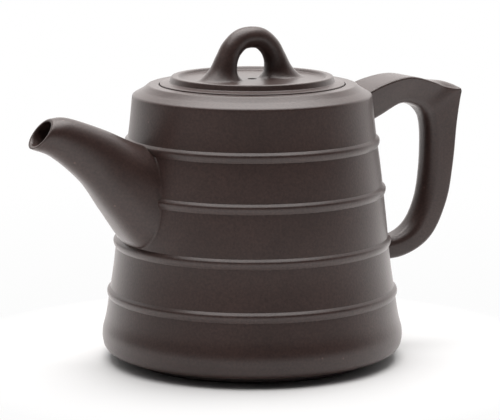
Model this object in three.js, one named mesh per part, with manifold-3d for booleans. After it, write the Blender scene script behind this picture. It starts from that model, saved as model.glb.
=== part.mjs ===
import * as THREE from 'three';
import { mergeVertices } from 'three/addons/utils/BufferGeometryUtils.js';
import Module from 'manifold-3d';

// A slab-built clay teapot: a truncated cone with four raised bands, a short curved spout,
// a strap handle with a pointed thumb corner, and a flat lid with a bridge knob.
// Millimetres, +Z up. The origin is on the table under the middle of the body.
// The spout points to -X and the handle to +X.

// Facets round a turned piece, a spout ring, a handle corner and a knob ring
const TURN = 60;
const SPOUT_RING = 28;
const HANDLE_CORNER = 3;
const KNOB_RING = 18;

// Gap left between pieces that are cut to fit each other, and where the lid rests
const CUT_GAP = 0.3;
const SEAT_GAP = 0.1;

// Foot ring, and the base plate with its rounded lower edge
const FOOT_IN = 31.0;
const FOOT_OUT = 36.0;
const FOOT_HIGH = 2.4;
const FOOT_CHAMFER = 0.4;
const BASE_EDGE = [[41.0, 2.4], [42.4, 2.9], [43.6, 4.1], [44.12, 5.8]];

// Body wall: radius and height up the outside, and the wall's thickness
const WALL_ROWS = [
  [44.12, 5.8], [44.25, 7.2], [44.05, 9.3], [43.1, 13.0], [41.94, 20.25],
  [40.55, 29.5], [39.3, 42.0], [37.55, 57.0], [35.98, 68.0], [35.05, 76.8],
];
const WALL_THICK = 3.2;
const WALL_INSIDE = [76.8, 42.0, 13.0, 5.8];

// Raised bands: heights of their middles, and the bead as height from its middle and rise
const BAND_BOTTOM = 20.25;
const BAND_LOWER = 35.1;
const BAND_UPPER = 50.4;
const BAND_TOP = 64.6;
const BANDS = [BAND_BOTTOM, BAND_LOWER, BAND_UPPER, BAND_TOP];
const BEAD_FROM = -1.7;
const BEAD_TO = 1.25;
const BEAD = [[BEAD_FROM, 0], [-0.75, 0.6], [-0.15, 0.76], [0.3, 0.76], [0.62, 0.62], [BEAD_TO, 0]];

// Strainer: a square of holes drilled through the wall behind the spout
const STRAINER_Z = 51.0;
const STRAINER_HOLE = 1.6;
const STRAINER_PITCH = 5.2;
const STRAINER_SIDES = 12;

// Bevelled shoulder, and the raised ring round the seat of the lid
const SHOULDER_EDGE = [[35.05, 76.8], [34.97, 77.6], [34.6, 78.05], [34.2, 78.25]];
const BEVEL = [[32.1, 79.4], [31.2, 80.1]];
const SHOULDER_TOP = 80.1;
const RING_IN = 27.2;
const RING_OUT = 31.2;
const RING_TOP = 80.85;
const RING_TOP_OUT = 30.3;
const MOUTH_R = 22.2;

// Lid: flange, raised dish with a rim, and the collar that drops into the mouth
const FLANGE_R = 26.9;
const FLANGE_LOW = SHOULDER_TOP + SEAT_GAP;
const FLANGE_EDGE = 81.1;
const FLANGE_TOP = 81.55;
const FLANGE_SOFT = 0.2;
const DISC_SIDE = [[24.0, 81.55], [23.7, 81.8], [23.55, 82.85], [23.2, 83.25]];
const DISC_TOP = 83.25;
const DISH_R = 21.2;
const DISH_FLOOR = 82.3;
const DISH_SOFT = 0.5;
const COLLAR_OUT = 21.6;
const COLLAR_IN = 19.2;
const COLLAR_LOW = 74.4;
const COLLAR_SOFT = 0.4;
const VENT_R = 1.3;

// Knob, half of the arch from foot to crown: x, z, radius across, radius along.
// It stands a little off the middle of the lid, towards the spout.
const KNOB_X = -0.5;
const KNOB_ROWS = [
  [10.05, 82.3, 5.8, 6.9], [9.1, 85.0, 4.1, 4.2], [8.0, 88.3, 3.5, 3.25],
  [6.15, 91.6, 3.2, 3.1], [2.6, 94.15, 3.1, 3.1],
];
const KNOB_STEPS = 2;
const KNOB_LEVEL = 6.0;

// Spout from mouth to root: upper edge x z, lower edge x z, half width, wall,
// and how far the section has turned from an ellipse to the shape of the root
const SPOUT_ROWS = [
  [-65.0, 74.95, -71.75, 66.6, 4.9, 1.0, 0.0],
  [-59.8, 74.9, -64.8, 64.1, 5.3, 1.4, 0.1],
  [-48.6, 70.85, -55.3, 56.0, 6.9, 2.1, 0.4],
  [-39.9, 66.8, -48.1, 46.5, 9.6, 2.6, 0.8],
  [-31.0, 63.6, -40.4, 36.6, 11.9, 3.0, 1.0],
  [-26.0, 61.8, -36.0, 37.0, 12.1, 3.0, 1.0],
];
const SPOUT_STEPS = 2;
const SPOUT_BORE_REACH = 3.0;
const ROOT_CROWN = 0.4;
const ROOT_BELLY = 0.8;

// Handle: inner edge x z, outer edge x z, half width outside, outer and inner corner radius,
// and the rise of the outer side's arch, which the thumb corner has.
// The first run goes from the upper root to the tip, the second down to the lower root.
const HANDLE_TOP_RUN = [
  [33.0, 64.6, 32.0, 75.6, 6.4, 1.4, 2.0, 0.0],
  [42.5, 68.8, 41.5, 79.35, 5.9, 1.2, 2.0, 0.0],
  [50.0, 72.0, 50.5, 80.6, 4.6, 1.0, 2.2, 0.0],
  [55.4, 70.9, 60.0, 78.3, 4.2, 0.9, 2.6, 0.3],
  [57.6, 69.0, 65.0, 76.5, 4.2, 0.7, 3.2, 1.7],
  [58.5, 67.6, 69.0, 75.55, 4.2, 0.6, 3.5, 1.5],
  [58.8, 66.9, 71.2, 75.4, 4.0, 0.5, 3.6, 0.5],
];
const HANDLE_GRIP_RUN = [
  [59.0, 66.0, 71.55, 74.6, 3.9, 0.6, 3.7, 0.2],
  [59.3, 64.6, 71.2, 73.0, 3.9, 0.7, 3.8, 0.0],
  [59.6, 60.0, 70.05, 65.0, 3.9, 0.9, 3.8, 0.0],
  [59.2, 51.0, 68.65, 52.6, 4.2, 1.0, 3.8, 0.0],
  [57.6, 42.1, 66.3, 40.9, 4.2, 1.0, 3.8, 0.0],
  [53.9, 35.0, 60.5, 30.4, 4.2, 1.1, 3.4, 0.0],
  [47.8, 31.6, 50.2, 25.35, 4.2, 1.2, 2.6, 0.0],
  [38.0, 31.3, 37.0, 25.6, 4.4, 1.3, 2.2, 0.0],
];
const HANDLE_HALF = 4.2;
const HANDLE_STEPS = 3;
const HANDLE_ARCH = 4;

const wasm = await Module();
wasm.setup();

function clay(colour, roughness) {
  return new THREE.MeshStandardMaterial({ color: colour, roughness, metalness: 0.0 });
}

const CLAY_BODY = clay(0x4c4140, 0.5);
const CLAY_TOP = clay(0x524746, 0.46);

// A closed mesh as a solid that can be cut and joined
function toSolid(geometry) {
  const bare = geometry.clone();
  bare.deleteAttribute('normal');
  bare.deleteAttribute('uv');
  const merged = mergeVertices(bare, 1e-4);
  return new wasm.Manifold(new wasm.Mesh({
    numProp: 3,
    vertProperties: new Float32Array(merged.attributes.position.array),
    triVerts: new Uint32Array(merged.index.array),
  }));
}

function fromSolid(solid) {
  const mesh = solid.getMesh();
  const geometry = new THREE.BufferGeometry();
  geometry.setAttribute('position', new THREE.BufferAttribute(mesh.vertProperties, 3));
  geometry.setIndex(new THREE.BufferAttribute(mesh.triVerts, 1));
  geometry.computeVertexNormals();
  return geometry;
}

// The same mesh with its faces pointing out
function outward(geometry) {
  if (toSolid(geometry).volume() > 0) {
    return geometry;
  }
  const flipped = geometry.clone();
  const order = Array.from(flipped.index.array);
  for (let i = 0; i < order.length; i += 3) {
    [order[i + 1], order[i + 2]] = [order[i + 2], order[i + 1]];
  }
  flipped.setIndex(order);
  return flipped;
}

// A closed profile of [radius, height] turned about +Z
function turned(points) {
  const loop = points.map(([r, z]) => new THREE.Vector2(r, z));
  if (points[0][0] > 0) {
    loop.push(loop[0].clone());
  }
  const geometry = new THREE.LatheGeometry(loop, TURN);
  geometry.rotateX(Math.PI / 2);
  return geometry;
}

function catmullRom(before, from, to, after, t) {
  const slope = (to - before) * t;
  const bend = (2 * before - 5 * from + 4 * to - after) * t * t;
  const twist = (3 * from - before - 3 * to + after) * t * t * t;
  return from + (slope + bend + twist) / 2;
}

// Rows of numbers joined by a smooth curve, with the given steps in each span
function smooth(rows, steps) {
  const out = [];
  for (let k = 0; k < rows.length - 1; k += 1) {
    const before = rows[Math.max(k - 1, 0)];
    const after = rows[Math.min(k + 2, rows.length - 1)];
    for (let s = 0; s < steps; s += 1) {
      const blend = (from, i) => catmullRom(before[i], from, rows[k + 1][i], after[i], s / steps);
      out.push(rows[k].map(blend));
    }
  }
  out.push(rows[rows.length - 1]);
  return out;
}

// A closed skin through rings of equal point counts, with flat ends
function skinned(rings) {
  const count = rings[0].length;
  const position = rings.flat().flatMap((p) => [p.x, p.y, p.z]);
  const index = [];
  for (let k = 0; k < rings.length - 1; k += 1) {
    for (let i = 0; i < count; i += 1) {
      const a = k * count + i;
      const b = k * count + (i + 1) % count;
      index.push(a, b, b + count, a, b + count, a + count);
    }
  }
  const last = (rings.length - 1) * count;
  for (let i = 1; i < count - 1; i += 1) {
    index.push(0, i + 1, i);
    index.push(last, last + i, last + i + 1);
  }
  const geometry = new THREE.BufferGeometry();
  geometry.setAttribute('position', new THREE.Float32BufferAttribute(position, 3));
  geometry.setIndex(index);
  return outward(geometry);
}

// Radius of the outside of the wall at a height
function wallRadius(z) {
  const above = Math.max(WALL_ROWS.findIndex((row) => row[1] >= z), 1);
  const [r0, z0] = WALL_ROWS[above - 1];
  const [r1, z1] = WALL_ROWS[above];
  return r0 + (r1 - r0) * (z - z0) / (z1 - z0);
}

// Heights of the wall's corners: a band bears on a straight stretch between its two edges
function wallHeights() {
  const edges = BANDS.map((middle) => [middle + BEAD_FROM, middle + BEAD_TO]);
  const clearOfBands = (z) => edges.every(([from, to]) => z < from || z > to);
  const free = WALL_ROWS.map((row) => row[1]).filter(clearOfBands);
  return [...free, ...edges.flat()].sort((a, b) => a - b);
}

// Everything inside the wall and shoulder, let out by the gap
function envelope() {
  const side = wallHeights().map((z) => [wallRadius(z) + CUT_GAP, z]);
  const edge = [...SHOULDER_EDGE.slice(1), BEVEL[0]].map(([r, z]) => [r + CUT_GAP, z + CUT_GAP]);
  const top = SHOULDER_TOP + CUT_GAP;
  return toSolid(turned([[0, side[0][1]], ...side, ...edge, [BEVEL[1][0] + CUT_GAP, top], [0, top]]));
}

function footRing() {
  return turned([
    [FOOT_IN, FOOT_CHAMFER], [FOOT_IN + FOOT_CHAMFER, 0], [FOOT_OUT - FOOT_CHAMFER, 0],
    [FOOT_OUT, FOOT_CHAMFER], [FOOT_OUT, FOOT_HIGH], [FOOT_IN, FOOT_HIGH],
  ]);
}

function basePlate() {
  const top = WALL_ROWS[0][1];
  return turned([[0, FOOT_HIGH], ...BASE_EDGE, [0, top]]);
}

function strainerHoles() {
  const holes = [];
  for (let row = -1; row <= 1; row += 1) {
    for (let column = -1; column <= 1; column += 1) {
      const z = STRAINER_Z + row * STRAINER_PITCH;
      const long = WALL_THICK * 4;
      const pin = new THREE.CylinderGeometry(STRAINER_HOLE, STRAINER_HOLE, long, STRAINER_SIDES);
      pin.rotateZ(Math.PI / 2);
      pin.translate(-wallRadius(z), column * STRAINER_PITCH, z);
      holes.push(toSolid(pin));
    }
  }
  return holes.reduce((all, hole) => all.add(hole));
}

function bodyWall() {
  const outside = wallHeights().map((z) => [wallRadius(z), z]);
  const inside = WALL_INSIDE.map((z) => [wallRadius(z) - WALL_THICK, z]);
  return fromSolid(toSolid(turned([...outside, ...inside])).subtract(strainerHoles()));
}

// A clay bead laid round the wall
function band(middle, grow = 0) {
  return turned(BEAD.map(([up, rise]) => {
    const z = middle + up * (1 + grow / BEAD_TO);
    return [wallRadius(z) + (rise > 0 ? rise + grow : 0), z];
  }));
}

function bandAtSpout(middle) {
  return fromSolid(toSolid(band(middle)).subtract(toSolid(spoutSkin(() => -CUT_GAP))));
}

function shoulderPlate() {
  const low = SHOULDER_EDGE[0][1];
  return turned([
    ...SHOULDER_EDGE, ...BEVEL, [MOUTH_R, SHOULDER_TOP], [MOUTH_R, low],
  ]);
}

function mouthRing() {
  return turned([
    [RING_IN, SHOULDER_TOP], [RING_OUT, SHOULDER_TOP], [RING_TOP_OUT, RING_TOP], [RING_IN, RING_TOP],
  ]);
}

function signedPower(value, power) {
  return Math.sign(value) * Math.abs(value) ** power;
}

// One section of the spout, drawn in by the inset: an ellipse at the mouth, which towards
// the root becomes squarer, under its belly more than over its crown
function spoutRing([xu, zu, xl, zl, half, , turn], inset) {
  const middle = new THREE.Vector3((xu + xl) / 2, 0, (zu + zl) / 2);
  const up = new THREE.Vector3((xu - xl) / 2, 0, (zu - zl) / 2);
  const tall = up.length() - inset;
  up.normalize();
  const ring = [];
  for (let i = 0; i < SPOUT_RING; i += 1) {
    const angle = 2 * Math.PI * i / SPOUT_RING;
    const over = Math.cos(angle) > 0;
    const power = 2 / (2 + (over ? ROOT_CROWN : ROOT_BELLY) * turn);
    const point = middle.clone().addScaledVector(up, tall * signedPower(Math.cos(angle), power));
    point.y = (half - inset) * signedPower(Math.sin(angle), power);
    ring.push(point);
  }
  return ring;
}

// The spout's skin, drawn in by a row's inset, and led out straight past its mouth
function spoutSkin(insetOf, reach = 0) {
  const rings = smooth(SPOUT_ROWS, SPOUT_STEPS).map((row) => spoutRing(row, insetOf(row)));
  if (reach > 0) {
    const [mouth, next] = rings;
    const led = mouth.map((p, i) => p.clone().addScaledVector(p.clone().sub(next[i]).normalize(), reach));
    rings.unshift(led);
  }
  return skinned(rings);
}

function spout() {
  const outside = toSolid(spoutSkin(() => 0));
  const bore = toSolid(spoutSkin((row) => row[5], SPOUT_BORE_REACH));
  return fromSolid(outside.subtract(bore).subtract(envelope()));
}

// One section of the handle: four rounded corners, then the arch of the outer side
function handleRing([xi, zi, xo, zo, outerHalf, outerSoft, innerSoft, arch]) {
  const inner = new THREE.Vector3(xi, 0, zi);
  const out = new THREE.Vector3(xo - xi, 0, zo - zi);
  const thick = out.length();
  out.normalize();
  const ring = [];
  for (let corner = 0; corner < 4; corner += 1) {
    const outside = corner === 0 || corner === 3;
    const side = corner < 2 ? 1 : -1;
    const soft = outside ? outerSoft : innerSoft;
    const centre = outside ? thick - soft : soft;
    const half = (outside ? outerHalf : HANDLE_HALF) - soft;
    for (let i = 0; i <= HANDLE_CORNER; i += 1) {
      const angle = (corner + i / HANDLE_CORNER) * Math.PI / 2;
      const point = inner.clone().addScaledVector(out, centre + soft * Math.cos(angle));
      point.y = side * half + soft * Math.sin(angle);
      ring.push(point);
    }
  }
  for (let i = 1; i < HANDLE_ARCH; i += 1) {
    const across = 2 * i / HANDLE_ARCH - 1;
    const point = inner.clone().addScaledVector(out, thick + arch * (1 - across * across));
    point.y = across * (outerHalf - outerSoft);
    ring.push(point);
  }
  return ring;
}

function handle() {
  const rows = [...smooth(HANDLE_TOP_RUN, HANDLE_STEPS), ...smooth(HANDLE_GRIP_RUN, HANDLE_STEPS)];
  const strap = toSolid(skinned(rows.map(handleRing)));
  return fromSolid(strap.subtract(envelope()).subtract(toSolid(band(BAND_TOP, CUT_GAP))));
}

function lidPlate() {
  return turned([
    [VENT_R, FLANGE_LOW], [FLANGE_R - FLANGE_SOFT, FLANGE_LOW],
    [FLANGE_R, FLANGE_LOW + FLANGE_SOFT], [FLANGE_R, FLANGE_EDGE - FLANGE_SOFT],
    [FLANGE_R - FLANGE_SOFT, FLANGE_EDGE], [DISC_SIDE[0][0], FLANGE_TOP], [VENT_R, FLANGE_TOP],
  ]);
}

function lidDish() {
  return turned([
    [VENT_R, FLANGE_TOP], ...DISC_SIDE, [DISH_R + DISH_SOFT, DISC_TOP],
    [DISH_R, DISC_TOP - DISH_SOFT], [DISH_R - DISH_SOFT, DISH_FLOOR], [VENT_R, DISH_FLOOR],
  ]);
}

function lidCollar() {
  return turned([
    [COLLAR_IN, FLANGE_LOW], [COLLAR_IN, COLLAR_LOW], [COLLAR_OUT - COLLAR_SOFT, COLLAR_LOW],
    [COLLAR_OUT, COLLAR_LOW + COLLAR_SOFT], [COLLAR_OUT, FLANGE_LOW],
  ]);
}

// The bridge knob: its sections lie flat on the dish at the feet and then turn
// until they stand square to the arch
function knob() {
  const mirrored = [...KNOB_ROWS].reverse().map(([x, z, across, along]) => [-x, z, across, along]);
  const rows = smooth([...KNOB_ROWS, ...mirrored], KNOB_STEPS);
  const rings = rows.map(([x, z, across, along], k) => {
    const before = rows[Math.max(k - 1, 0)];
    const after = rows[Math.min(k + 1, rows.length - 1)];
    const way = new THREE.Vector3(after[0] - before[0], 0, after[1] - before[1]).normalize();
    const level = new THREE.Vector3(Math.sign(x) || 1, 0, 0);
    const square = new THREE.Vector3(way.z, 0, -way.x);
    const rise = Math.min((z - DISH_FLOOR) / KNOB_LEVEL, 1);
    const side = level.lerp(square, rise).normalize();
    const ring = [];
    for (let i = 0; i < KNOB_RING; i += 1) {
      const angle = 2 * Math.PI * i / KNOB_RING;
      const point = new THREE.Vector3(KNOB_X + x, 0, z).addScaledVector(side, along * Math.cos(angle));
      point.y = across * Math.sin(angle);
      ring.push(point);
    }
    return ring;
  });
  return skinned(rings);
}

const teapot = new THREE.Group();

function put(name, geometry, material) {
  const mesh = new THREE.Mesh(outward(geometry), material);
  mesh.name = name;
  teapot.add(mesh);
}

put('foot_ring', footRing(), CLAY_BODY);
put('base_plate', basePlate(), CLAY_BODY);
put('body_wall', bodyWall(), CLAY_BODY);
put('band_bottom', band(BAND_BOTTOM), CLAY_BODY);
put('band_lower', bandAtSpout(BAND_LOWER), CLAY_BODY);
put('band_upper', bandAtSpout(BAND_UPPER), CLAY_BODY);
put('band_top', bandAtSpout(BAND_TOP), CLAY_BODY);
put('shoulder_plate', shoulderPlate(), CLAY_TOP);
put('mouth_ring', mouthRing(), CLAY_TOP);
put('spout', spout(), CLAY_BODY);
put('handle', handle(), CLAY_BODY);
put('lid_plate', lidPlate(), CLAY_TOP);
put('lid_dish', lidDish(), CLAY_TOP);
put('lid_collar', lidCollar(), CLAY_BODY);
put('lid_knob', knob(), CLAY_TOP);

export default teapot;
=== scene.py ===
import math

import bmesh
import bpy
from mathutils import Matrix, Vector


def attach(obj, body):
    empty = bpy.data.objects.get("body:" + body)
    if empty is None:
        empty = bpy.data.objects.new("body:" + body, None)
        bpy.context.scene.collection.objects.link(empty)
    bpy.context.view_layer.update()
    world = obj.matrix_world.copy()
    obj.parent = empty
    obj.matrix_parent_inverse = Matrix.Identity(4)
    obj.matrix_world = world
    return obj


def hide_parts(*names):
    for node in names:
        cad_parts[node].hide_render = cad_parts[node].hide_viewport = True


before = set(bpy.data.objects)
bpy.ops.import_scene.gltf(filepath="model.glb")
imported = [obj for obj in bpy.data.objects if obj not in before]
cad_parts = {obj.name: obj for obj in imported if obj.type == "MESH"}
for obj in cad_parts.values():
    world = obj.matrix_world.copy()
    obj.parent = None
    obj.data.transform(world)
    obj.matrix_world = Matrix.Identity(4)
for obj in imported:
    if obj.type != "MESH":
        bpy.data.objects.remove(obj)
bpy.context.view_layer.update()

# Lengths below are in millimetres, in the frame of the model, and MM brings them to metres
MM = 0.001

# Camera, from the ellipses of the rim, shoulder, bands and foot in the photograph
CAM_TURN = math.radians(30.0)
CAM_RISE = math.radians(9.91)
CAM_FAR = 756.3
CAM_AIM = 43.5
CAM_SENSOR = 36.0
CAM_LENS = 185.5
CAM_SHIFT = (-0.0043, 0.0)
CAM_CLIP = 20.0

# Directions on the floor as the camera sees them
AWAY = Vector((math.sin(CAM_TURN), math.cos(CAM_TURN), 0.0))
RIGHT = Vector((math.cos(CAM_TURN), -math.sin(CAM_TURN), 0.0))

# Fineness: points round each piece and its corners, and steps between two rows of a table
TURN = 256
HOLE_SIDES = 32
SPOUT_RING = 96
KNOB_RING = 64
HANDLE_CORNER = 10
HANDLE_ARCH = 12
CORNER_STEPS = 5
LIP_STEPS = 6
SIDE_STEPS = 5
BEAD_STEPS = 3
ROW_STEPS = 8

# Rows of the skins of spout and handle, and how much they crowd towards the root
SPOUT_ROWS_OUT = 72
HANDLE_ROWS_OUT = 60
CROWDING = 1.8

# A rounded corner's greatest share of its edges, the edges that stay sharp, and the weld in metres
CORNER_SHARE = 0.48
SHARP_ANGLE = math.radians(40.0)
WELD = 1e-7

# Foot and base: corner radius, height and how far each corner is rounded
FOOT = [(0.0, 2.4, 0.0), (31.0, 2.4, 0.3), (31.0, 0.0, 0.5), (36.0, 0.0, 0.4), (36.0, 2.4, 0.15)]

# Outside of the base and wall, from the ledge over the foot up to the shoulder
SIDE = [
    (41.0, 2.4), (42.4, 2.9), (43.6, 4.1), (44.12, 5.8), (44.25, 7.2), (44.05, 9.3), (43.1, 13.0),
    (41.94, 20.25), (40.55, 29.5), (39.3, 42.0), (37.55, 57.0), (35.98, 68.0), (35.05, 76.8),
]
WALL_THICK = 3.2

# Shoulder, mouth ring and the inside of the body
SHOULDER = [
    (34.95, 77.87, 0.7), (32.1, 79.4, 0.4), (31.2, 80.1, 0.2), (30.3, 80.85, 0.4),
    (27.2, 80.85, 0.15), (27.2, 80.1, 0.05), (22.2, 80.1, 0.3), (22.2, 76.8, 0.6),
    (31.85, 76.8, 1.2),
]
INSIDE = [(36.1, 42.0, 0.0), (39.9, 13.0, 0.0), (40.6, 5.8, 3.0), (0.0, 5.8, 0.0)]

# Raised bands
BANDS = {"band_bottom": 20.25, "band_lower": 35.1, "band_upper": 50.4, "band_top": 64.6}
BEAD = [
    (-1.7, 0.0), (-1.25, 0.32), (-0.75, 0.6), (-0.15, 0.76), (0.3, 0.76), (0.62, 0.62), (1.25, 0.0),
]
BAND_SUNK = 0.5
BAND_UNDER_SPOUT = {"band_upper": 9.9}

# Strainer behind the spout
STRAINER_Z = 51.0
STRAINER_HOLE = 1.6
STRAINER_PITCH = 5.2

# Spout from mouth to root: upper edge x z, lower edge x z, half width, wall,
# and how far the section has turned from an ellipse to the shape of the root
SPOUT = [
    (-65.0, 74.95, -71.35, 66.85, 4.8, 0.95, 0.0),
    (-59.8, 74.9, -64.8, 64.1, 5.3, 1.4, 0.1),
    (-48.6, 70.85, -55.3, 56.0, 6.9, 2.1, 0.4),
    (-39.9, 66.8, -48.1, 46.5, 9.6, 2.6, 0.8),
    (-31.0, 63.6, -40.4, 36.6, 11.9, 3.0, 1.0),
    (-26.0, 61.8, -36.0, 37.0, 12.1, 3.0, 1.0),
]

# How square the root is above and below, the fillet round it and the lip's rounding
ROOT_CROWN = 0.4
ROOT_BELLY = 0.8
SPOUT_FILLET = 0.4
LIP_ROUND = 0.35

# Handle: inner edge x z, outer edge x z, half width outside, outer and inner corner radius,
# and the rise of the outer side's arch, which the thumb corner has
HANDLE_TOP_RUN = [
    (33.0, 64.6, 32.0, 75.3, 7.6, 0.8, 2.0, 0.0),
    (42.5, 68.8, 41.5, 78.9, 7.2, 0.7, 2.0, 0.0),
    (50.0, 72.0, 51.3, 80.35, 6.4, 0.6, 2.2, 0.0),
    (55.4, 70.9, 60.2, 78.25, 5.1, 0.6, 2.6, 0.3),
    (57.6, 69.0, 65.0, 76.5, 4.2, 0.7, 3.2, 1.7),
    (58.5, 67.6, 69.0, 75.55, 4.2, 0.6, 3.5, 1.5),
    (58.8, 66.9, 71.2, 75.4, 4.0, 0.5, 3.6, 0.5),
]
HANDLE_GRIP_RUN = [
    (59.0, 66.0, 71.55, 74.6, 3.9, 0.6, 3.7, 0.2),
    (59.3, 64.6, 71.2, 73.0, 3.9, 0.7, 3.8, 0.0),
    (59.6, 60.0, 70.05, 65.0, 3.9, 0.9, 3.8, 0.0),
    (59.2, 51.0, 68.65, 52.6, 4.2, 1.0, 3.8, 0.0),
    (57.6, 42.1, 66.3, 40.9, 4.2, 1.0, 3.8, 0.0),
    (53.9, 35.0, 60.5, 30.4, 4.2, 1.1, 3.4, 0.0),
    (47.8, 31.6, 50.2, 25.35, 4.2, 1.2, 2.6, 0.0),
    (38.0, 31.3, 37.0, 25.6, 4.4, 1.3, 2.2, 0.0),
]
HANDLE_HALF = 4.2
HANDLE_FILLET = 1.0

# How deep the roots of spout and handle sit in the wall
ROOT_SUNK = 1.0

# Lid: corner radius, height and how far each corner is rounded, and the knob's rows
LID = [
    (1.3, 80.2, 0.2), (19.2, 80.2, 0.1), (19.2, 74.4, 0.4), (21.6, 74.4, 0.5), (21.6, 80.2, 0.1),
    (26.9, 80.2, 0.2), (26.9, 81.15, 0.25), (24.15, 81.5, 0.3), (23.5, 83.25, 0.4),
    (21.75, 83.25, 0.4), (20.9, 82.3, 0.6), (1.3, 82.3, 0.3),
]
KNOB_X = -0.5
KNOB = [
    (10.05, 82.3, 6.4, 7.6), (9.8, 82.75, 5.3, 6.2), (9.1, 85.0, 4.1, 4.2),
    (8.0, 88.3, 3.5, 3.25), (6.15, 91.6, 3.2, 3.1), (2.6, 94.15, 3.1, 3.1),
]
KNOB_SUNK = 0.4
KNOB_LEVEL = 6.0

# Clay: its colour and finish, and the strength of its grain. The top's grain is smoother, and the
# top's copy of the clay is drawn a little paler, painted light for the lit lid and knob
CLAY = (0.0280, 0.0158, 0.0137)
CLAY_ROUGH = 0.38
CLAY_SPECULAR = 0.38
BODY_GRAIN = 0.35
TOP_GRAIN = 0.3
TOP_PAINTED_LIGHT = 1.05

# Soft clouding: size in metres, the noise's range that counts and the tint at its ends
CLOUD_SIZE = 0.02
CLOUD_DETAIL = 7.0
CLOUD_ROUGH = 0.66
CLOUD_RANGE = (0.35, 0.65)
CLOUD_TINT = (0.88, 1.12)

# Fine grain: the same, and its depth in metres
GRAIN_SIZE = 0.0007
GRAIN_DETAIL = 3.0
GRAIN_RANGE = (0.3, 0.7)
GRAIN_TINT = (0.72, 1.28)
GRAIN_DEEP = 0.00008

# Specks of sand: size of the cells in metres, a speck's full core and its edge as shares of it,
# the share of cells without a speck, and the tint
SPECK_SIZE = 0.0022
SPECK_EDGE = (0.09, 0.17)
SPECK_FREE = 0.9
SPECK_TINT = 2.6

# Studio, in metres: a softbox overhead, a little behind the pot
SOFTBOX_SIZE = (0.8, 0.72)
SOFTBOX_HIGH = 0.75
SOFTBOX_BACK = 0.08
SOFTBOX_POWER = 11.10
LIGHT_TINT = (1.0, 0.965, 0.95)

# Surround: turn to the right of straight behind and rise in degrees, the cosine where a
# soft lobe of light begins and where it is full, and its strength
SURROUND = [
    (10.0, 0.0, -0.12, 0.95, 1.86),
    (-90.0, 50.0, 0.40, 0.95, 0.29),
    (0.0, 40.0, 0.30, 0.95, 0.20),
    (0.0, 90.0, 0.60, 0.95, 0.60),
]

# Floor: tone for the light that it throws back and tone for the camera
FLOOR_HALF = 4.0
FLOOR_DROP = 0.00003
FLOOR_TONE = 0.92
FLOOR_SEEN_TONE = (0.565, 0.577, 0.582)
FLOOR_ROUGH = 0.8
FLOOR_SPECULAR = 0.1

# Distance from the middle at which the camera's floor begins to turn to even white and at which
# it has done so, then where that white begins to rise, where it is full, and its first strength.
# The turn begins just outside the pot's edge, so the glowing white paints light over the outer part
# of the pot's shadow
FLOOR_PAINTED_LIGHT_FADE = (0.0445, 0.095)
FLOOR_WHITE = (0.09, 0.3)
FLOOR_WHITE_FIRST = 0.975


def smooth(rows, steps):
    """Rows of numbers joined by a smooth curve, with the given steps in each span."""
    out = []
    for k in range(len(rows) - 1):
        before = rows[max(k - 1, 0)]
        after = rows[min(k + 2, len(rows) - 1)]
        for s in range(steps):
            t = s / steps
            spans = zip(before, rows[k], rows[k + 1], after)
            out.append(tuple(catmull_rom(*span, t) for span in spans))
    out.append(tuple(rows[-1]))
    return out


def catmull_rom(before, start, end, after, t):
    """The value at share t of the way from start to end."""
    slope = (end - before) * t
    bend = (2 * before - 5 * start + 4 * end - after) * t ** 2
    twist = (3 * start - before - 3 * end + after) * t ** 3
    return start + (slope + bend + twist) / 2


def rounded(corners):
    """Corners of (radius, height, soft), each rounded off over its soft length."""
    points = []
    for k, (r, z, soft) in enumerate(corners):
        here = Vector((r, z))
        if soft == 0.0:
            points.append(here)
            continue
        before = Vector(corners[k - 1][:2]) - here
        after = Vector(corners[(k + 1) % len(corners)][:2]) - here
        start = here + before.normalized() * min(soft, before.length * CORNER_SHARE)
        end = here + after.normalized() * min(soft, after.length * CORNER_SHARE)
        for s in range(CORNER_STEPS + 1):
            t = s / CORNER_STEPS
            points.append(start.lerp(here, t).lerp(here.lerp(end, t), t))
    return [(p.x, p.y) for p in points]


def new_piece(name, verts, faces):
    """A mesh object from points in millimetres, smooth but for edges over the sharp angle."""
    mesh = bpy.data.meshes.new(name)
    mesh.from_pydata([tuple(c * MM for c in v) for v in verts], [], faces)
    bm = bmesh.new()
    bm.from_mesh(mesh)
    bmesh.ops.remove_doubles(bm, verts=bm.verts, dist=WELD)
    bmesh.ops.recalc_face_normals(bm, faces=bm.faces)
    bm.to_mesh(mesh)
    bm.free()
    for face in mesh.polygons:
        face.use_smooth = True
    mesh.set_sharp_from_angle(angle=SHARP_ANGLE)
    piece = bpy.data.objects.new(name, mesh)
    bpy.context.scene.collection.objects.link(piece)
    return piece


def even_shading(piece):
    """Keeps flats flat beside their rounded edges."""
    weighted = piece.modifiers.new("even_shading", "WEIGHTED_NORMAL")
    weighted.keep_sharp = True


def turned(name, points):
    """A profile of (radius, height) turned about +Z, closed unless it ends on the axis."""
    count = len(points)
    closed = points[0][0] > 0.0
    verts = []
    faces = []
    for i in range(TURN):
        angle = 2 * math.pi * i / TURN
        verts += [(r * math.cos(angle), r * math.sin(angle), z) for r, z in points]
    for i in range(TURN):
        here = i * count
        there = (i + 1) % TURN * count
        for k in range(count if closed else count - 1):
            n = (k + 1) % count
            faces.append((here + k, there + k, there + n, here + n))
    return new_piece(name, verts, faces)


def skinned(name, rings, loop=False):
    """A skin through rings of equal point counts, with flat ends or joined into a loop."""
    count = len(rings[0])
    verts = [p for ring in rings for p in ring]
    faces = []
    for k in range(len(rings) if loop else len(rings) - 1):
        here = k * count
        there = (k + 1) % len(rings) * count
        for i in range(count):
            n = (i + 1) % count
            faces.append((here + i, here + n, there + n, there + i))
    if not loop:
        last = (len(rings) - 1) * count
        faces.append(tuple(range(count - 1, -1, -1)))
        faces.append(tuple(range(last, last + count)))
    return new_piece(name, verts, faces)


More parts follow.
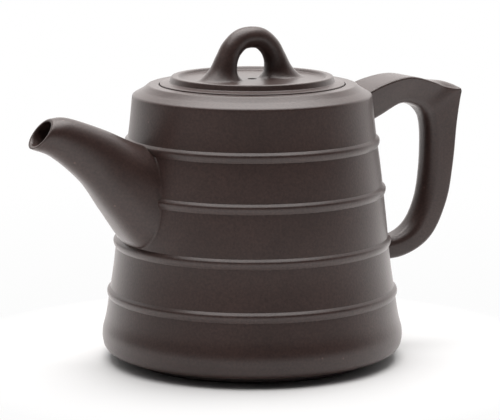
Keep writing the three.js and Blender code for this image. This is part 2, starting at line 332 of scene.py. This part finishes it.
def radius_at(rows, z):
    """The radius at a height on a profile of (radius, height) that rises all the way."""
    for (r0, z0), (r1, z1) in zip(rows, rows[1:]):
        if z0 <= z <= z1:
            return r0 + (r1 - r0) * (z - z0) / (z1 - z0)
    return rows[0][0] if z < rows[0][1] else rows[-1][0]


# Outside of the pot from the base to the mouth ring, for what stands on it
SIDE_CURVE = smooth(SIDE, SIDE_STEPS)
OUTSIDE = SIDE_CURVE + [
    (34.97, 77.4), (34.75, 77.85), (34.4, 78.12), (32.1, 79.4), (31.2, 80.1), (30.3, 80.85),
]


def sunk(point):
    """How far a point lies inside the outside of the pot."""
    return radius_at(OUTSIDE, point.z) - math.hypot(point.x, point.y)


def pot_body():
    side = [(r, z, 0.0) for r, z in SIDE_CURVE]
    corners = FOOT + side + SHOULDER + INSIDE
    piece = turned("pot_body", rounded(corners))
    drill(piece)
    even_shading(piece)
    return piece


def drill(piece):
    """Cuts the strainer's holes through the wall behind the spout."""
    verts = []
    faces = []
    for row in (-1, 0, 1):
        for column in (-1, 0, 1):
            z = STRAINER_Z + row * STRAINER_PITCH
            y = column * STRAINER_PITCH
            first = len(verts)
            wall = -radius_at(OUTSIDE, z)
            for x in (wall - WALL_THICK, wall + 2 * WALL_THICK):
                for i in range(HOLE_SIDES):
                    a = 2 * math.pi * i / HOLE_SIDES
                    across = STRAINER_HOLE * math.cos(a)
                    verts.append((x, y + across, z + STRAINER_HOLE * math.sin(a)))
            second = first + HOLE_SIDES
            for i in range(HOLE_SIDES):
                n = (i + 1) % HOLE_SIDES
                faces.append((first + i, first + n, second + n, second + i))
            faces.append(tuple(range(second - 1, first - 1, -1)))
            faces.append(tuple(range(second, second + HOLE_SIDES)))
    pins = new_piece("strainer_pins", verts, faces)
    cut = piece.modifiers.new("holes", "BOOLEAN")
    cut.operation = "DIFFERENCE"
    cut.solver = "EXACT"
    cut.object = pins
    depsgraph = bpy.context.evaluated_depsgraph_get()
    mesh = bpy.data.meshes.new_from_object(piece.evaluated_get(depsgraph))
    piece.modifiers.clear()
    piece.data = mesh
    mesh.set_sharp_from_angle(angle=SHARP_ANGLE)
    bpy.data.objects.remove(pins)


def bead(name, middle):
    """A half-round bead round the wall, open where the spout stands on it."""
    half_gap = BAND_UNDER_SPOUT.get(name, 0.0)
    radius = radius_at(OUTSIDE, middle)
    gap = math.asin(half_gap / radius)
    section = []
    for up, rise in smooth(BEAD, BEAD_STEPS):
        z = middle + up
        section.append((radius_at(OUTSIDE, z) + rise, z))
    for up in (BEAD[-1][0], BEAD[0][0]):
        section.append((radius_at(OUTSIDE, middle + up) - BAND_SUNK, middle + up))
    steps = TURN if half_gap == 0.0 else TURN - 1
    rings = []
    for k in range(TURN):
        angle = math.pi + gap + (2 * math.pi - 2 * gap) * k / steps
        rings.append([(r * math.cos(angle), r * math.sin(angle), z) for r, z in section])
    return skinned(name + "_bead", rings, loop=half_gap == 0.0)


def signed_power(value, power):
    return math.copysign(abs(value) ** power, value)


def spout_ring(row, inset):
    """One section: an ellipse at the mouth, squarer at the root and more so below."""
    xu, zu, xl, zl, half, _, turn = row
    middle = Vector(((xu + xl) / 2, 0, (zu + zl) / 2))
    up = Vector(((xu - xl) / 2, 0, (zu - zl) / 2))
    tall = up.length - inset
    up.normalize()
    ring = []
    for i in range(SPOUT_RING):
        a = 2 * math.pi * i / SPOUT_RING
        square = ROOT_CROWN if math.cos(a) > 0 else ROOT_BELLY
        power = 2 / (2 + square * turn)
        point = middle + up * (tall * signed_power(math.cos(a), power))
        point.y = (half - inset) * signed_power(math.sin(a), power)
        ring.append(point)
    return ring


def rooted(rings, count, fillet):
    """Rings whose far end is cut off inside the wall and flares out where it meets it."""
    lines = [spread(cut_line(line), count) for line in zip(*rings)]
    out = []
    for ring in zip(*lines):
        centre = sum(ring, Vector()) / len(ring)
        out.append([p + (p - centre).normalized() * flare(-sunk(p), fillet) for p in ring])
    return out


def cut_line(line):
    """The line up to the point where it is deep enough inside the wall."""
    kept = [line[0]]
    for before, after in zip(line, line[1:]):
        if sunk(after) > ROOT_SUNK:
            share = (ROOT_SUNK - sunk(before)) / (sunk(after) - sunk(before))
            kept.append(before.lerp(after, share))
            return kept
        kept.append(after)
    return kept


def spread(line, count):
    """The line with a new number of points, which crowd towards its far end."""
    lengths = [0.0]
    for before, after in zip(line, line[1:]):
        lengths.append(lengths[-1] + (after - before).length)
    out = []
    k = 0
    for j in range(count):
        way = lengths[-1] * (1 - (1 - j / (count - 1)) ** CROWDING)
        while k < len(line) - 2 and lengths[k + 1] < way:
            k += 1
        share = (way - lengths[k]) / (lengths[k + 1] - lengths[k])
        out.append(line[k].lerp(line[k + 1], min(share, 1.0)))
    return out


def flare(clear, fillet):
    """How far a quarter-round fillet stands out from a surface at a distance from its foot."""
    if fillet == 0.0 or clear >= fillet:
        return 0.0
    rest = 1 - max(clear, 0.0) / fillet
    return fillet * (1 - math.sqrt(1 - rest * rest))


def spout():
    rows = smooth(SPOUT, ROW_STEPS)
    outer = rooted([spout_ring(row, 0.0) for row in rows], SPOUT_ROWS_OUT, SPOUT_FILLET)
    inner = rooted([spout_ring(row, row[5]) for row in rows], SPOUT_ROWS_OUT, 0.0)
    wall = SPOUT[0][5]
    led = (outer[0][0] - outer[2][0]).normalized()
    outer[0] = [p - led * LIP_ROUND for p in outer[0]]
    inner[0] = [p - led * LIP_ROUND for p in inner[0]]
    lip = []
    for step in range(1, LIP_STEPS):
        angle = math.pi * step / LIP_STEPS
        inset = wall / 2 * (1 - math.cos(angle))
        ring = spout_ring(rows[0], inset)
        lip.append([p - led * (LIP_ROUND * (1 - math.sin(angle))) for p in ring])
    rings = outer[::-1] + lip + inner
    return skinned("spout_skin", rings, loop=True)


def handle_ring(row):
    """One section: four rounded corners, then the arch of the outer side."""
    xi, zi, xo, zo, outer_half, outer_soft, inner_soft, arch = row
    inner = Vector((xi, 0, zi))
    out = Vector((xo - xi, 0, zo - zi))
    thick = out.length
    out.normalize()
    ring = []
    for corner in range(4):
        outside = corner in (0, 3)
        side = 1 if corner < 2 else -1
        soft = outer_soft if outside else inner_soft
        centre = thick - soft if outside else soft
        half = (outer_half if outside else HANDLE_HALF) - soft
        for i in range(HANDLE_CORNER + 1):
            a = (corner + i / HANDLE_CORNER) * math.pi / 2
            point = inner + out * (centre + soft * math.cos(a))
            point.y = side * half + soft * math.sin(a)
            ring.append(point)
    for i in range(1, HANDLE_ARCH):
        across = 2 * i / HANDLE_ARCH - 1
        point = inner + out * (thick + arch * (1 - across * across))
        point.y = across * (outer_half - outer_soft)
        ring.append(point)
    return ring


def handle():
    top = [handle_ring(row) for row in smooth(HANDLE_TOP_RUN, ROW_STEPS)]
    grip = [handle_ring(row) for row in smooth(HANDLE_GRIP_RUN, ROW_STEPS)]
    upper = rooted(top[::-1], HANDLE_ROWS_OUT, HANDLE_FILLET)
    lower = rooted(grip, HANDLE_ROWS_OUT, HANDLE_FILLET)
    return skinned("handle_skin", upper[::-1] + lower)


def lid():
    piece = turned("lid_skin", rounded(LID))
    even_shading(piece)
    return piece


def knob():
    """The bridge: level sections at both feet that turn square to the arch on the way up."""
    mirrored = [(-x, z, across, along) for x, z, across, along in KNOB[::-1]]
    rows = smooth(KNOB + mirrored, ROW_STEPS)
    rings = []
    for k, (x, z, across, along) in enumerate(rows):
        before = rows[max(k - 1, 0)]
        after = rows[min(k + 1, len(rows) - 1)]
        way = Vector((after[0] - before[0], 0, after[1] - before[1])).normalized()
        level = Vector((1 if x >= 0 else -1, 0, 0))
        rise = min((z - KNOB[0][1]) / KNOB_LEVEL, 1.0)
        side = level.lerp(Vector((way.z, 0, -way.x)), rise).normalized()
        ring = []
        for i in range(KNOB_RING):
            a = 2 * math.pi * i / KNOB_RING
            point = Vector((KNOB_X + x, 0, z)) + side * (along * math.cos(a))
            point.y = across * math.sin(a)
            ring.append(point)
        rings.append(ring)
    down = Vector((0, 0, -KNOB_SUNK))
    rings.insert(0, [p + down for p in rings[0]])
    rings.append([p + down for p in rings[-1]])
    return skinned("knob_skin", rings)


def link(owner, *pairs):
    """Joins sockets in the node tree of a material or a world."""
    for source, target in pairs:
        owner.node_tree.links.new(source, target)


def clay(name, shade, grain):
    """Unglazed burnished clay: soft clouding, fine grain, a few paler specks of sand."""
    material = bpy.data.materials.new(name)
    material.use_nodes = True
    nodes = material.node_tree.nodes
    place = nodes.new("ShaderNodeTexCoord")
    cloud = nodes.new("ShaderNodeTexNoise")
    cloud.inputs["Scale"].default_value = 1 / CLOUD_SIZE
    cloud.inputs["Detail"].default_value = CLOUD_DETAIL
    cloud.inputs["Roughness"].default_value = CLOUD_ROUGH
    tint = nodes.new("ShaderNodeValToRGB")
    for stop, position, level in zip(tint.color_ramp.elements, CLOUD_RANGE, CLOUD_TINT):
        stop.position = position
        stop.color = (*[c * shade * level for c in CLAY], 1)
    fine = nodes.new("ShaderNodeTexNoise")
    fine.inputs["Scale"].default_value = 1 / GRAIN_SIZE
    fine.inputs["Detail"].default_value = GRAIN_DETAIL
    mottle = nodes.new("ShaderNodeMapRange")
    mottle.inputs["From Min"].default_value, mottle.inputs["From Max"].default_value = GRAIN_RANGE
    mottle.inputs["To Min"].default_value, mottle.inputs["To Max"].default_value = GRAIN_TINT
    ground = nodes.new("ShaderNodeVectorMath")
    ground.operation = "SCALE"
    specks = nodes.new("ShaderNodeTexVoronoi")
    specks.inputs["Scale"].default_value = 1 / SPECK_SIZE
    size = nodes.new("ShaderNodeValToRGB")
    for stop, position, level in zip(size.color_ramp.elements, SPECK_EDGE, (1, 0)):
        stop.position = position
        stop.color = (level, level, level, 1)
    pick = nodes.new("ShaderNodeMath")
    pick.operation = "GREATER_THAN"
    pick.inputs[1].default_value = SPECK_FREE
    both = nodes.new("ShaderNodeMath")
    both.operation = "MULTIPLY"
    sand = nodes.new("ShaderNodeMix")
    sand.data_type = "RGBA"
    sand.inputs["B"].default_value = (*[c * shade * SPECK_TINT for c in CLAY], 1)
    bump = nodes.new("ShaderNodeBump")
    bump.inputs["Strength"].default_value = grain
    bump.inputs["Distance"].default_value = GRAIN_DEEP
    shader = nodes["Principled BSDF"]
    shader.inputs["Roughness"].default_value = CLAY_ROUGH
    shader.inputs["Specular IOR Level"].default_value = CLAY_SPECULAR
    link(
        material,
        (place.outputs["Object"], cloud.inputs["Vector"]),
        (place.outputs["Object"], fine.inputs["Vector"]),
        (place.outputs["Object"], specks.inputs["Vector"]),
        (cloud.outputs["Fac"], tint.inputs["Fac"]),
        (fine.outputs["Fac"], mottle.inputs["Value"]),
        (tint.outputs["Color"], ground.inputs[0]),
        (mottle.outputs["Result"], ground.inputs["Scale"]),
        (specks.outputs["Distance"], size.inputs["Fac"]),
        (specks.outputs["Color"], pick.inputs[0]),
        (size.outputs["Color"], both.inputs[0]),
        (pick.outputs["Value"], both.inputs[1]),
        (both.outputs["Value"], sand.inputs["Factor"]),
        (ground.outputs["Vector"], sand.inputs["A"]),
        (sand.outputs["Result"], shader.inputs["Base Color"]),
        (fine.outputs["Fac"], bump.inputs["Height"]),
        (bump.outputs["Normal"], shader.inputs["Normal"]),
    )
    return material


def place_piece(piece, material, body, slot, *nodes):
    """Gives a piece its clay, its body and the CAD nodes that it takes the place of; its slot is
    not used.
    """
    piece.data.materials.clear()
    piece.data.materials.append(material)
    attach(piece, body)
    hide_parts(*nodes)


def dress():
    body = clay("clay_body", 1.0, BODY_GRAIN)
    # The top's clay is the body's clay drawn paler: painted light on the lit lid and knob
    top = clay("clay_top", TOP_PAINTED_LIGHT, TOP_GRAIN)
    place_piece(pot_body(), body, "pot", "clay_body",
                "foot_ring", "base_plate", "body_wall", "shoulder_plate", "mouth_ring")
    for name, middle in BANDS.items():
        place_piece(bead(name, middle), body, "pot", "clay_body", name)
    place_piece(spout(), body, "pot", "clay_body", "spout")
    place_piece(handle(), body, "pot", "clay_body", "handle")
    place_piece(lid(), top, "lid", "clay_top", "lid_plate", "lid_dish", "lid_collar")
    place_piece(knob(), top, "lid", "clay_top", "lid_knob")


def softbox():
    data = bpy.data.lights.new("softbox", "AREA")
    data.shape = "RECTANGLE"
    data.size, data.size_y = SOFTBOX_SIZE
    data.energy = SOFTBOX_POWER
    data.color = LIGHT_TINT
    lamp = bpy.data.objects.new("softbox", data)
    lamp.location = AWAY * SOFTBOX_BACK + Vector((0, 0, SOFTBOX_HIGH))
    aim = Vector((0, 0, CAM_AIM * MM))
    lamp.rotation_euler = (aim - lamp.location).to_track_quat("-Z", "Y").to_euler()
    lamp.visible_camera = False
    bpy.context.scene.collection.objects.link(lamp)


def floor():
    """A pale floor that keeps the pot's shadow near the foot and turns to even white away from the
    pot; from the pot's edge outward the glowing white paints light over the outer part of that
    shadow.
    """
    mesh = bpy.data.meshes.new("floor")
    s = FLOOR_HALF
    mesh.from_pydata([(-s, -s, 0), (s, -s, 0), (s, s, 0), (-s, s, 0)], [], [(0, 1, 2, 3)])
    piece = bpy.data.objects.new("floor", mesh)
    piece.location.z = -FLOOR_DROP
    bpy.context.scene.collection.objects.link(piece)
    material = bpy.data.materials.new("floor_white")
    material.use_nodes = True
    nodes = material.node_tree.nodes
    shader = nodes["Principled BSDF"]
    shader.inputs["Roughness"].default_value = FLOOR_ROUGH
    shader.inputs["Specular IOR Level"].default_value = FLOOR_SPECULAR
    white = nodes.new("ShaderNodeEmission")
    coord = nodes.new("ShaderNodeTexCoord")
    far = nodes.new("ShaderNodeVectorMath")
    far.operation = "LENGTH"
    # From the pot's edge outward the camera's floor is mixed into glowing white: painted light over
    # the outer part of the shadow
    fade = nodes.new("ShaderNodeMapRange")
    fade.inputs["From Min"].default_value, fade.inputs["From Max"].default_value = FLOOR_PAINTED_LIGHT_FADE
    glow = nodes.new("ShaderNodeMapRange")
    glow.inputs["From Min"].default_value, glow.inputs["From Max"].default_value = FLOOR_WHITE
    glow.inputs["To Min"].default_value = FLOOR_WHITE_FIRST
    ray = nodes.new("ShaderNodeLightPath")
    tone = nodes.new("ShaderNodeMix")
    tone.data_type = "RGBA"
    tone.inputs["A"].default_value = (FLOOR_TONE, FLOOR_TONE, FLOOR_TONE, 1)
    tone.inputs["B"].default_value = (*FLOOR_SEEN_TONE, 1)
    seen = nodes.new("ShaderNodeMath")
    seen.operation = "MULTIPLY"
    mix = nodes.new("ShaderNodeMixShader")
    link(
        material,
        (coord.outputs["Object"], far.inputs[0]),
        (far.outputs["Value"], fade.inputs["Value"]),
        (far.outputs["Value"], glow.inputs["Value"]),
        (glow.outputs["Result"], white.inputs["Strength"]),
        (ray.outputs["Is Camera Ray"], tone.inputs["Factor"]),
        (tone.outputs["Result"], shader.inputs["Base Color"]),
        (fade.outputs["Result"], seen.inputs[0]),
        (ray.outputs["Is Camera Ray"], seen.inputs[1]),
        (seen.outputs["Value"], mix.inputs["Fac"]),
        (shader.outputs["BSDF"], mix.inputs[1]),
        (white.outputs["Emission"], mix.inputs[2]),
        (mix.outputs["Shader"], nodes["Material Output"].inputs["Surface"]),
    )
    mesh.materials.append(material)


def towards(turn, rise):
    """A direction, turned to the right of straight away from the camera and raised."""
    level = AWAY * math.cos(turn) + RIGHT * math.sin(turn)
    return level * math.cos(rise) + Vector((0, 0, math.sin(rise)))


def surround():
    """White for the camera, and soft lobes of light for the object."""
    world = bpy.data.worlds.new("surround")
    bpy.context.scene.world = world
    world.use_nodes = True
    nodes = world.node_tree.nodes
    lit = nodes["Background"]
    coord = nodes.new("ShaderNodeTexCoord")
    strength = lit.inputs["Strength"]
    for turn, rise, begin, full, level in SURROUND:
        lobe = nodes.new("ShaderNodeMapRange")
        lobe.interpolation_type = "SMOOTHSTEP"
        lobe.inputs["From Min"].default_value = begin
        lobe.inputs["From Max"].default_value = full
        lobe.inputs["To Max"].default_value = level
        along = nodes.new("ShaderNodeVectorMath")
        along.operation = "DOT_PRODUCT"
        along.inputs[1].default_value = towards(math.radians(turn), math.radians(rise))
        add = nodes.new("ShaderNodeMath")
        add.inputs[1].default_value = 0.0
        link(
            world,
            (coord.outputs["Generated"], along.inputs[0]),
            (along.outputs["Value"], lobe.inputs["Value"]),
            (lobe.outputs["Result"], add.inputs[0]),
            (add.outputs["Value"], strength),
        )
        strength = add.inputs[1]
    white = nodes.new("ShaderNodeBackground")
    white.inputs["Color"].default_value = (1, 1, 1, 1)
    white.inputs["Strength"].default_value = 1.0
    ray = nodes.new("ShaderNodeLightPath")
    mix = nodes.new("ShaderNodeMixShader")
    lit.inputs["Color"].default_value = (*LIGHT_TINT, 1)
    link(
        world,
        (ray.outputs["Is Camera Ray"], mix.inputs["Fac"]),
        (lit.outputs["Background"], mix.inputs[1]),
        (white.outputs["Background"], mix.inputs[2]),
        (mix.outputs["Shader"], nodes["World Output"].inputs["Surface"]),
    )


def camera():
    data = bpy.data.cameras.new("camera")
    data.lens = CAM_LENS
    data.sensor_width = CAM_SENSOR
    data.shift_x, data.shift_y = CAM_SHIFT
    data.clip_end = CAM_CLIP
    piece = bpy.data.objects.new("camera", data)
    aim = Vector((0, 0, CAM_AIM * MM))
    back = AWAY * -math.cos(CAM_RISE) + Vector((0, 0, math.sin(CAM_RISE)))
    piece.location = aim + back * CAM_FAR * MM
    piece.rotation_euler = (-back).to_track_quat("-Z", "Y").to_euler()
    bpy.context.scene.collection.objects.link(piece)
    bpy.context.scene.camera = piece


camera()
dress()
softbox()
floor()
surround()
bpy.context.scene.view_settings.view_transform = "Standard"
